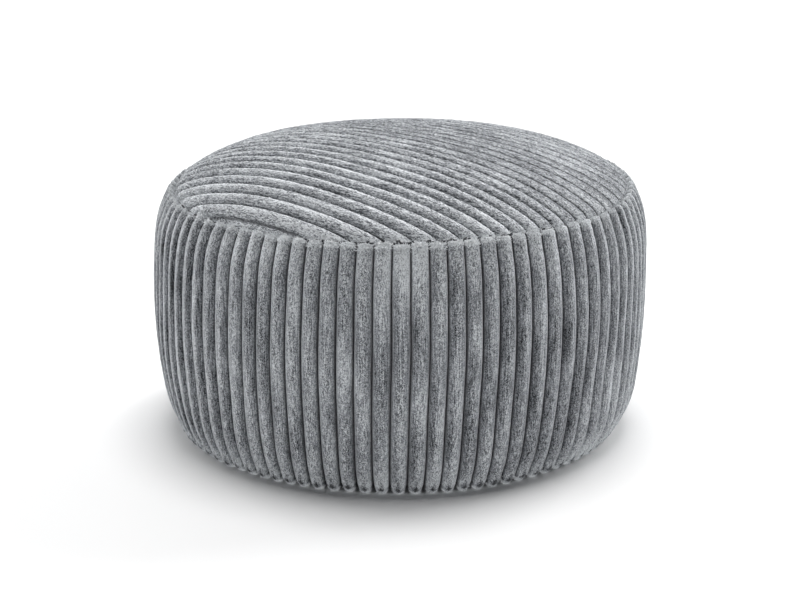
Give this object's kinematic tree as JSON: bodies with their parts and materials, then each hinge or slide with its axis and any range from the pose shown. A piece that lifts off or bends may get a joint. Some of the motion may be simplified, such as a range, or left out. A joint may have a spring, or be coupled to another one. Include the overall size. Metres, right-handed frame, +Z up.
{
  "type": "pouf chair",
  "caption": "Round, tightly filled pouf in grey wide-wale corduroy velvet: crowned top with slanting wales, bulged band with upright wales, plain base.",
  "frame": {"origin": "on the floor under the middle of the pouf, at the bottom centre of its box", "axes": "+Z up, -Y towards the front, +X to the right seen from the front; the wales of the top head 38 degrees to the front of +X"},
  "size_m": [0.5996, 0.6, 0.3513],
  "materials": {
    "corduroy": "cut-pile corduroy velvet with wide round wales and a soft sheen at grazing angles",
    "base_cloth": "plain close-woven cloth, matte"
  },
  "bodies": {
    "root": {"top_panel": "corduroy", "side_band": "corduroy", "base_panel": "base_cloth"}
  },
  "joints": []
}
